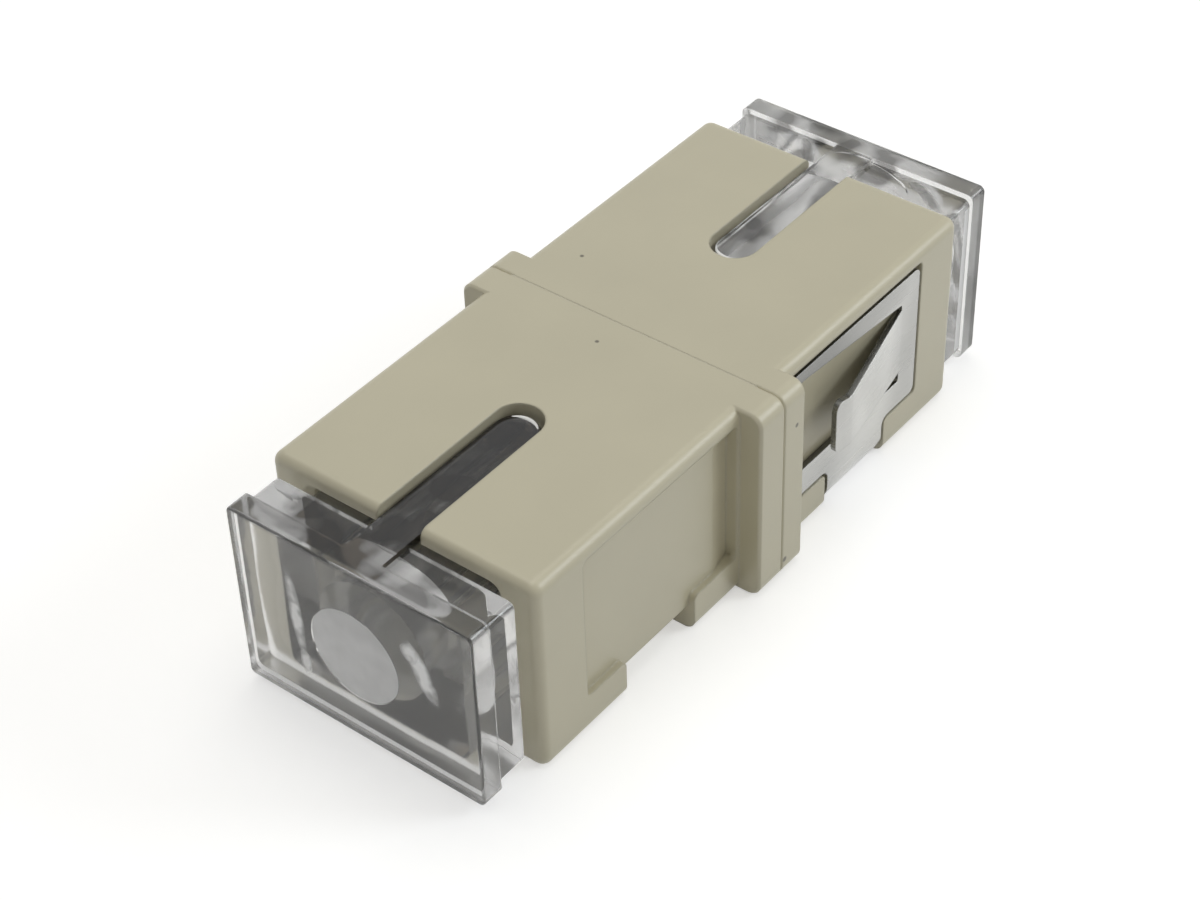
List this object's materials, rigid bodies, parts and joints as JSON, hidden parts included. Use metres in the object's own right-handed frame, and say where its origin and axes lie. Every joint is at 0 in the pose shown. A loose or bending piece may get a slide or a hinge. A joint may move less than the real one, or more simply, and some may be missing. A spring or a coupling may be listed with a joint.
{
  "type": "fibre optic adapter",
  "caption": "Simplex fibre optic coupler: rectangular beige moulded body with a mid collar, open key slots on top, a folded metal panel clip and clear plug-in dust caps.",
  "frame": {"origin": "middle of the alignment sleeve on the optical axis, which is also the middle of the body", "axes": "+Y along the optical axis towards the port of the half that carries the panel clip, +Z towards the keyway side, +X the side seen in the picture"},
  "size_m": [0.0148, 0.0336, 0.0094],
  "materials": {
    "housing_plastic": "fine satin moulding, warm beige",
    "latch_plastic": "satin moulding, off-white",
    "sleeve_ceramic": "ground white ceramic",
    "clip_steel": "bright rolled spring sheet",
    "cap_plastic": "clear polished moulding with a frosted gate recess"
  },
  "bodies": {
    "housing": {"front_housing": "housing_plastic", "rear_housing": "housing_plastic", "front_latch": "latch_plastic", "rear_latch": "latch_plastic", "alignment_sleeve": "sleeve_ceramic", "panel_clip": "clip_steel"},
    "front_cap": {"front_cap": "cap_plastic"},
    "rear_cap": {"rear_cap": "cap_plastic"}
  },
  "joints": [
    {"name": "front_cap_slide", "type": "slide", "parent": "housing", "child": "front_cap", "axis": [0, -1, 0], "range_m": [0, 0.012]},
    {"name": "rear_cap_slide", "type": "slide", "parent": "housing", "child": "rear_cap", "axis": [0, 1, 0], "range_m": [0, 0.012]}
  ]
}
